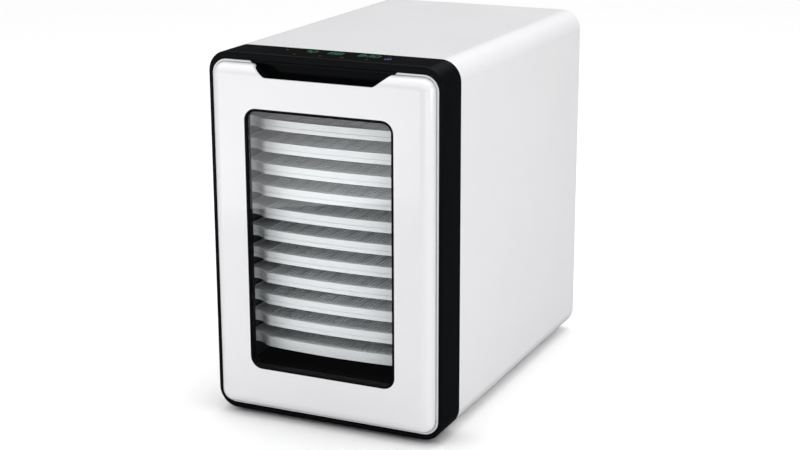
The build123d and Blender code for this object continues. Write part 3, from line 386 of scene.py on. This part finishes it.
# ---------------------------------------------------------------------------
# Front frame. One thick ring moulded in polished black round the door, with
# the catch magnets pressed in at the top and the steel hinge pins below.
# ---------------------------------------------------------------------------
polished_black = moulded("polished_black", colour=(0.0035, 0.004, 0.005), shade=(0.005, 0.0055, 0.0065),
                         worn=(0.022, 0.022, 0.024), roughness=(0.07, 0.20),
                         grain=300.0, depth=0.000004, gloss=0.03)
smooth_copy("front_frame", "front_ring", "housing", polished_black)
finish_node("door_magnets", screw_zinc)
smooth_copy("hinge_pins", "hinge_pins_steel", "housing", screw_zinc)

# ---------------------------------------------------------------------------
# Door. A thin gloss white shell, rolled over along all four edges, screwed to
# a white inner moulding, with a black cup for the hand behind its top notch.
# ---------------------------------------------------------------------------
door_gloss = moulded("door_gloss", colour=(0.80, 0.80, 0.815), shade=(0.775, 0.775, 0.795),
                     worn=(0.60, 0.60, 0.61), roughness=(0.16, 0.30), grain=380.0, depth=0.000008, coat=0.5)
smooth_copy("door_front_panel", "door_shell", "door", door_gloss)
smooth_copy("door_inner_frame", "door_inner_moulding", "door", door_gloss)
smooth_copy("grip_insert", "grip_cup_black", "door", polished_black)

# ---------------------------------------------------------------------------
# Window. A black trim ring, toughened glass with ground edges behind it, a
# thin gasket and the black retainer that holds them from inside.
# ---------------------------------------------------------------------------
trim_gloss = moulded("trim_gloss", colour=(0.0025, 0.0025, 0.003), shade=(0.004, 0.004, 0.0045),
                     worn=(0.016, 0.016, 0.017), roughness=(0.16, 0.28),
                     grain=500.0, depth=0.000006, gloss=0.04)
retainer_black = moulded("retainer_black", colour=(0.009, 0.008, 0.0075), shade=(0.013, 0.011, 0.010),
                         worn=(0.035, 0.033, 0.032), roughness=(0.35, 0.5),
                         grain=1200.0, depth=0.00002, gloss=0.15)
smooth_copy("window_trim", "window_ring", "door", trim_gloss)
smooth_copy("glass_retainer", "window_retainer", "door", retainer_black)
finish_node("glass_gasket", foot_rubber)

ground_edge = 0.0006
window_clear, tree, shader = new_material("window_clear", colour=(0.985, 0.995, 0.995), roughness=0.015,
                                          Transmission_Weight=1.0, IOR=1.46)
film_node = effect(tree, film_group, Film_Scale=14.0)
tree.links.new(band(tree, film_node.outputs["Film"], (0.0, 1.0), (0.0, 0.035)), shader.inputs["Roughness"])
# Light that falls through the pane onto what is behind it goes straight on, unbent.
see_through = tree.nodes.new("ShaderNodeBsdfTransparent")
see_through.inputs["Color"].default_value = (0.99, 1.0, 1.0, 1)
pane_choice = tree.nodes.new("ShaderNodeMixShader")
ray_kind = tree.nodes.new("ShaderNodeLightPath")
passing = math_node(tree, "MAXIMUM", ray_kind.outputs["Is Shadow Ray"], ray_kind.outputs["Is Diffuse Ray"])
tree.links.new(passing, pane_choice.inputs["Fac"])
tree.links.new(shader.outputs["BSDF"], pane_choice.inputs[1])
tree.links.new(see_through.outputs["BSDF"], pane_choice.inputs[2])
tree.links.new(pane_choice.outputs["Shader"], tree.nodes["Material Output"].inputs["Surface"])
smooth_copy("window_glass", "window_pane", "door", window_clear, bevel=ground_edge)

# ---------------------------------------------------------------------------
# Door fittings. A soft seal on the back of the door, steel strike plates for
# the magnets, brass bushes for the hinge and the screws that join the halves.
# ---------------------------------------------------------------------------
seal_grey = moulded("seal_grey", colour=(0.045, 0.046, 0.048), shade=(0.06, 0.06, 0.062),
                    worn=(0.09, 0.09, 0.09), roughness=(0.6, 0.75), grain=900.0, depth=0.00003)
seal_edge = 0.0006
smooth_copy("door_seal", "seal_ring", "door", seal_grey, bevel=seal_edge)
finish_node("strike_plates", zinc_sheet)
smooth_copy("hinge_bushes", "hinge_bushes_brass", "door", pin_brass)
smooth_copy("door_screws", "door_screws_zinc", "door", screw_zinc)

# ---------------------------------------------------------------------------
# Chamber lining. Dark blue-grey heat-proof mouldings: two side walls with a rail for each tray and a
# ceiling, and a floor made near black with no gloss, as painted shade under the trays.
# ---------------------------------------------------------------------------
lining_grey = moulded("lining_grey", colour=(0.075, 0.095, 0.115), shade=(0.058, 0.075, 0.092),
                      worn=(0.14, 0.16, 0.18), roughness=(0.40, 0.55), grain=1100.0, depth=0.00003)
# A near-black, glossless copy of the lining for the chamber floor: painted shade at the bottom of the
# chamber, under the trays.
lining_painted_shade = moulded("lining_painted_shade", colour=(0.004, 0.005, 0.007), shade=(0.006, 0.007, 0.010),
                      worn=(0.02, 0.02, 0.02), roughness=(0.55, 0.70),
                      grain=1100.0, depth=0.000008, gloss=0.0)
for node in ("left_rail_wall", "right_rail_wall"):
    smooth_copy(node, node + "_moulding", "housing", lining_grey)
finish_node("chamber_floor", lining_painted_shade)
finish_node("chamber_ceiling", lining_grey)

# ---------------------------------------------------------------------------
# Trays. White food-grade mouldings, eleven alike: a bordered plate with ribs,
# a fine lattice laid over them, and a tall stepped lip that bows forward.
# ---------------------------------------------------------------------------
tray_white = moulded("tray_white", colour=(0.88, 0.89, 0.90), shade=(0.85, 0.86, 0.88),
                     worn=(0.74, 0.75, 0.76), roughness=(0.34, 0.48), grain=1300.0, depth=0.00002)
tray_low, tray_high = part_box("tray_01")
wire_pitch = 0.005
wire_width = 0.0015
wire_thickness = 0.0011
wire_step_down = 0.0002
mesh_half = 0.0895
mesh_border = 0.0085
mesh_start_y = tray_low.y + mesh_border
mesh_end_y = tray_high.y - mesh_border
mesh_drop = 0.0011
mesh_top_z = tray_high.z - mesh_drop
tray_count = 11
columns_each_side = 4
front_column_pitch = 0.020
front_column_half = 0.00875
front_opening_y = (tray_low.y + 0.0095, tray_low.y + 0.02665)
cutter_reach = 0.001


def add_bar(work, low, high):
    """A thin rectangular bar between two corners."""
    size = Vector(high) - Vector(low)
    middle = (Vector(high) + Vector(low)) / 2
    bmesh.ops.create_cube(work, size=1.0, matrix=Matrix.Translation(middle) @ Matrix.Diagonal((*size, 1)))


# The plate is opened right up to the lip, one opening for each column of its ribs.
openings = bmesh.new()
for column in range(-columns_each_side, columns_each_side + 1):
    x = column * front_column_pitch
    add_bar(openings, (x - front_column_half, front_opening_y[0], tray_low.z - cutter_reach),
            (x + front_column_half, front_opening_y[1], tray_high.z + cutter_reach))
cutter = add_object("tray_cutter", mesh_from("tray_cutter", openings))
whole = bmesh.new()
whole.from_mesh(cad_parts["tray_01"].data)
bmesh.ops.remove_doubles(whole, verts=whole.verts, dist=join_distance)
blank = add_object("tray_blank", mesh_from("tray_blank", whole))
cut = blank.modifiers.new("front_openings", "BOOLEAN")
cut.object = cutter
cut.operation = "DIFFERENCE"
cut.solver = "EXACT"
bpy.context.view_layer.update()
opened = blank.evaluated_get(bpy.context.evaluated_depsgraph_get())
opened_tray = bpy.data.meshes.new_from_object(opened)
bpy.data.objects.remove(blank)
bpy.data.objects.remove(cutter)

lattice = bmesh.new()
count_x = round(2 * mesh_half / wire_pitch)
count_y = round((mesh_end_y - mesh_start_y) / wire_pitch)
for number in range(count_x + 1):
    x = -mesh_half + number * wire_pitch
    add_bar(lattice, (x - wire_width / 2, mesh_start_y, mesh_top_z - wire_thickness),
            (x + wire_width / 2, mesh_end_y, mesh_top_z))
for number in range(count_y + 1):
    y = mesh_start_y + number * wire_pitch
    add_bar(lattice, (-mesh_half, y - wire_width / 2, mesh_top_z - wire_thickness - wire_step_down),
            (mesh_half, y + wire_width / 2, mesh_top_z - wire_step_down))
lattice_mesh = mesh_from("tray_lattice", lattice)

for level in range(1, tray_count + 1):
    node = f"tray_{level:02d}"
    body = f"tray_level_{level:02d}"
    lift = Matrix.Translation((0, 0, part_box(node)[0].z - tray_low.z))
    shape = opened_tray.copy()
    shape.transform(lift)
    smooth_copy(node, node + "_moulding", body, tray_white, shape=shape)
    mesh = lattice_mesh.copy()
    mesh.transform(lift)
    mesh.materials.append(tray_white)
    lattice_piece = add_object(node + "_lattice", mesh)
    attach(lattice_piece, body)

# ---------------------------------------------------------------------------
# Fan compartment. A slotted zinc baffle and a shroud, a sheathed ring heater
# on ceramic clips with its cut-out and probe, and a small fan on its motor.
# ---------------------------------------------------------------------------
heater_sheath = plated("heater_sheath", colour=(0.30, 0.27, 0.25), darker=(0.17, 0.16, 0.17),
                       roughness=(0.35, 0.5), stretch=(1.0, 1.0, 1.0), grain=400.0)
clip_ceramic = moulded("clip_ceramic", colour=(0.66, 0.63, 0.55), shade=(0.60, 0.57, 0.50),
                       worn=(0.45, 0.43, 0.38), roughness=(0.3, 0.45), grain=700.0, depth=0.00003)
fan_plastic = moulded("fan_plastic", colour=(0.16, 0.165, 0.175), shade=(0.13, 0.135, 0.145),
                      worn=(0.25, 0.25, 0.26), roughness=(0.42, 0.58), grain=1200.0, depth=0.00003)
winding_copper = plated("winding_copper", colour=(0.55, 0.24, 0.10), darker=(0.42, 0.17, 0.07),
                        roughness=(0.25, 0.4), stretch=(1.0, 0.02, 1.0), grain=1500.0)
finish_node("fan_baffle", zinc_sheet)
for node in ("fan_shroud", "motor_bracket", "motor_housing", "thermal_cutout", "temperature_probe"):
    smooth_copy(node, node + "_metal", "housing", zinc_sheet)
smooth_copy("heating_element", "ring_heater", "housing", heater_sheath)
finish_node("heater_clips", clip_ceramic)
finish_node("board_standoffs", clip_ceramic)
smooth_copy("motor_stator", "motor_stator_winding", "housing", winding_copper)
smooth_copy("motor_bearings", "motor_bearings_brass", "housing", pin_brass)
smooth_copy("fan_blades", "fan_blades_moulding", "fan", fan_plastic)
for node in ("motor_shaft", "motor_rotor", "fan_nut"):
    smooth_copy(node, node + "_steel", "fan", screw_zinc)

# ---------------------------------------------------------------------------
# Boards. A control board and a display under the touch panel, and a power
# board on standoffs in the rear compartment.
# ---------------------------------------------------------------------------
board_mask = moulded("board_mask", colour=(0.012, 0.09, 0.035), shade=(0.018, 0.12, 0.05),
                     worn=(0.10, 0.20, 0.12), roughness=(0.25, 0.4), grain=250.0, depth=0.00003)
display_smoke = moulded("display_smoke", colour=(0.02, 0.02, 0.022), shade=(0.03, 0.03, 0.032),
                        worn=(0.05, 0.05, 0.05), roughness=(0.15, 0.25), grain=300.0, depth=0.00001)
transformer_tape = moulded("transformer_tape", colour=(0.55, 0.36, 0.06), shade=(0.46, 0.28, 0.04),
                           worn=(0.35, 0.25, 0.10), roughness=(0.35, 0.5), grain=600.0, depth=0.00002)
relay_blue = moulded("relay_blue", colour=(0.03, 0.09, 0.28), shade=(0.02, 0.07, 0.22),
                     worn=(0.12, 0.18, 0.32), roughness=(0.3, 0.42), grain=900.0, depth=0.00002)
terminal_ivory = moulded("terminal_ivory", colour=(0.66, 0.64, 0.56), shade=(0.60, 0.58, 0.50),
                         worn=(0.50, 0.48, 0.42), roughness=(0.4, 0.55), grain=900.0, depth=0.00002)
sleeve_black = moulded("sleeve_black", colour=(0.015, 0.016, 0.022), shade=(0.022, 0.023, 0.030),
                       worn=(0.08, 0.08, 0.09), roughness=(0.3, 0.45), grain=500.0, depth=0.00001)
board_thickness = 0.0016
face_clearance = 0.0001
# Each component's finish, its span across the board, and its span back from the board's front edge.
components = ((transformer_tape, (-0.0885, -0.0595), (0.0115, 0.0365)),
              (relay_blue, (-0.0505, -0.0315), (0.0115, 0.0365)),
              (terminal_ivory, (-0.0865, -0.0575), (0.0515, 0.0645)),
              (sleeve_black, (-0.0465, -0.0295), (0.0495, 0.0665)))
finish_node("control_board", board_mask)
smooth_copy("display_module", "display_block", "housing", display_smoke)
power_board = smooth_copy("power_board", "power_board_parts", "housing", board_mask)
power_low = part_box("power_board")[0]
for number, (finish, span_x, span_y) in enumerate(components, start=1):
    power_board.data.materials.append(finish)
    for face in power_board.data.polygons:
        above = face.center.z >= power_low.z + board_thickness + face_clearance
        beside = span_x[0] < face.center.x < span_x[1]
        along = span_y[0] < face.center.y - power_low.y < span_y[1]
        if above and beside and along:
            face.material_index = number

# ---------------------------------------------------------------------------
# Touch panel. A flat gloss-black overlay let into the top of the frame, with
# lit figures for warmth and hours, small red touch marks and a power mark.
# ---------------------------------------------------------------------------
panel_gloss = moulded("panel_gloss", colour=(0.0025, 0.0025, 0.003), shade=(0.004, 0.004, 0.0045),
                      worn=(0.014, 0.014, 0.015), roughness=(0.05, 0.14),
                      grain=300.0, depth=0.000002, gloss=0.03)
panel_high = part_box("touch_panel")[1]
mark_rise = 0.00004
mark_sink = 0.00002
same_height = 0.000001
overlay = smooth_copy("touch_panel", "touch_overlay", "housing", panel_gloss)
for point in overlay.data.vertices:
    if point.co.z > panel_high.z - same_height:
        point.co.z -= mark_rise

figure_half_width = 0.0029
figure_half_depth = 0.0057
segment_width = 0.0012
segment_gap = 0.0002
tip_limit = 0.1
figure_row_y = -0.1825
touch_row_y = -0.2040
figure_groups = (("70", -0.0325, 0.0090), ("158", -0.0035, 0.0080), ("830", 0.0410, 0.0092))
lit_segments = {"0": "abcdef", "1": "bc", "3": "abgcd", "5": "afgcd", "7": "abc", "8": "abcdefg"}
segment_places = {
    "a": (0, 1, True), "g": (0, 0, True), "d": (0, -1, True),
    "f": (-1, 0.5, False), "b": (1, 0.5, False), "e": (-1, -0.5, False), "c": (1, -0.5, False)}


def add_segment(work, place, across):
    """One lit segment: a flat bar with pointed ends."""
    half_length = (figure_half_width if across else figure_half_depth / 2) - segment_gap
    made = bmesh.ops.create_circle(work, cap_ends=True, segments=6, radius=1.0)
    for point in made["verts"]:
        is_tip = abs(point.co.x) < tip_limit
        way_y = 1 if point.co.y > 0 else -1
        way_x = 1 if point.co.x > 0 else -1
        point.co.y = way_y * (half_length if is_tip else half_length - segment_width / 2)
        point.co.x = 0.0 if is_tip else way_x * segment_width / 2
    turn = Matrix.Rotation(pi / 2 if across else 0.0, 4, "Z")
    bmesh.ops.transform(work, matrix=Matrix.Translation(place) @ turn, verts=made["verts"])


def add_plate(work, sides, radius, place, turn=0.0, hole=0.0):
    """A flat many-sided mark, or a ring when it has a hole."""
    made = bmesh.ops.create_circle(work, cap_ends=True, segments=sides, radius=radius,
                                   matrix=Matrix.Translation(place) @ Matrix.Rotation(turn, 4, "Z"))
    if hole:
        disc = made["verts"][0].link_faces[0]
        bmesh.ops.inset_region(work, faces=[disc], thickness=radius - hole,
                               use_even_offset=True, use_boundary=True)
        bmesh.ops.delete(work, geom=[disc], context="FACES_ONLY")


glow_scale = 160.0
dimmed_share = 0.65


def lit_mark(name, colour, strength):
    """A printed mark lit from below, a little uneven in its glow."""
    material, tree, shader = new_material(name, colour=(0.01, 0.01, 0.01), roughness=0.3,
                                          Emission_Strength=strength)
    place = tree.nodes.new("ShaderNodeTexCoord").outputs["Object"]
    glow = noise_node(tree, place, glow_scale)
    dimmer = tuple(dimmed_share * channel for channel in colour)
    tree.links.new(mixed_colour(tree, glow, colour, dimmer), shader.inputs["Emission Color"])
    tree.links.new(band(tree, glow, (0.3, 0.7), (0.25, 0.4)), shader.inputs["Roughness"])
    return material


def raise_marks(work, name, material):
    """Give flat marks their thickness and set them on the housing, flush with the frame's top."""
    bmesh.ops.solidify(work, geom=work.faces[:], thickness=mark_rise + mark_sink)
    bmesh.ops.recalc_face_normals(work, faces=work.faces[:])
    top = max(point.co.z for point in work.verts)
    bmesh.ops.translate(work, vec=(0, 0, panel_high.z - top), verts=work.verts)
    marks = add_object(name, mesh_from(name, work))
    marks.data.materials.append(material)
    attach(marks, "housing")


figures = bmesh.new()
for digits, middle_x, pitch in figure_groups:
    for number, digit in enumerate(digits):
        digit_x = middle_x + (number - (len(digits) - 1) / 2) * pitch
        for segment in lit_segments[digit]:
            step_x, step_y, across = segment_places[segment]
            add_segment(figures, (digit_x + step_x * figure_half_width,
                                  figure_row_y + step_y * figure_half_depth, 0), across)
dot_radius = 0.0007
colon_x = 0.0364
end_dots_x = 0.0650
left_pointer_x = -0.0620
for step in (-1, 1):
    add_plate(figures, 8, dot_radius, (colon_x, figure_row_y + step * 0.0022, 0))
    add_plate(figures, 8, dot_radius, (end_dots_x, figure_row_y + step * 0.0030, 0))
add_plate(figures, 3, 0.0016, (left_pointer_x, figure_row_y, 0))
figure_green = lit_mark("figure_green", colour=(0.05, 0.80, 0.38), strength=0.30)
raise_marks(figures, "lit_figures", figure_green)

down_x, up_x, clock_x, fan_x = -0.0420, -0.0100, 0.0170, 0.0470
arrow_radius = 0.0021
blade_count = 3
blade_reach = 0.0014
touch_marks = bmesh.new()
add_plate(touch_marks, 3, arrow_radius, (down_x, touch_row_y, 0), turn=pi)
add_plate(touch_marks, 3, arrow_radius, (up_x, touch_row_y, 0))
add_plate(touch_marks, 16, 0.0023, (clock_x, touch_row_y, 0), hole=0.0016)
add_plate(touch_marks, 6, 0.0006, (clock_x, touch_row_y, 0))
for number in range(blade_count):
    blade = Matrix.Rotation(number * 2 * pi / blade_count, 3, "Z") @ Vector((0, blade_reach, 0))
    add_plate(touch_marks, 8, 0.0008, Vector((fan_x, touch_row_y, 0)) + blade)
touch_red = lit_mark("touch_red", colour=(0.75, 0.06, 0.05), strength=0.22)
raise_marks(touch_marks, "red_touch_marks", touch_red)

power_place = (0.0680, -0.1925, 0)
power_mark = bmesh.new()
add_plate(power_mark, 24, 0.0042, power_place, hole=0.0032)
add_plate(power_mark, 8, 0.0009, power_place)
power_blue = lit_mark("power_blue", colour=(0.22, 0.26, 0.85), strength=0.55)
raise_marks(power_mark, "power_touch_mark", power_blue)
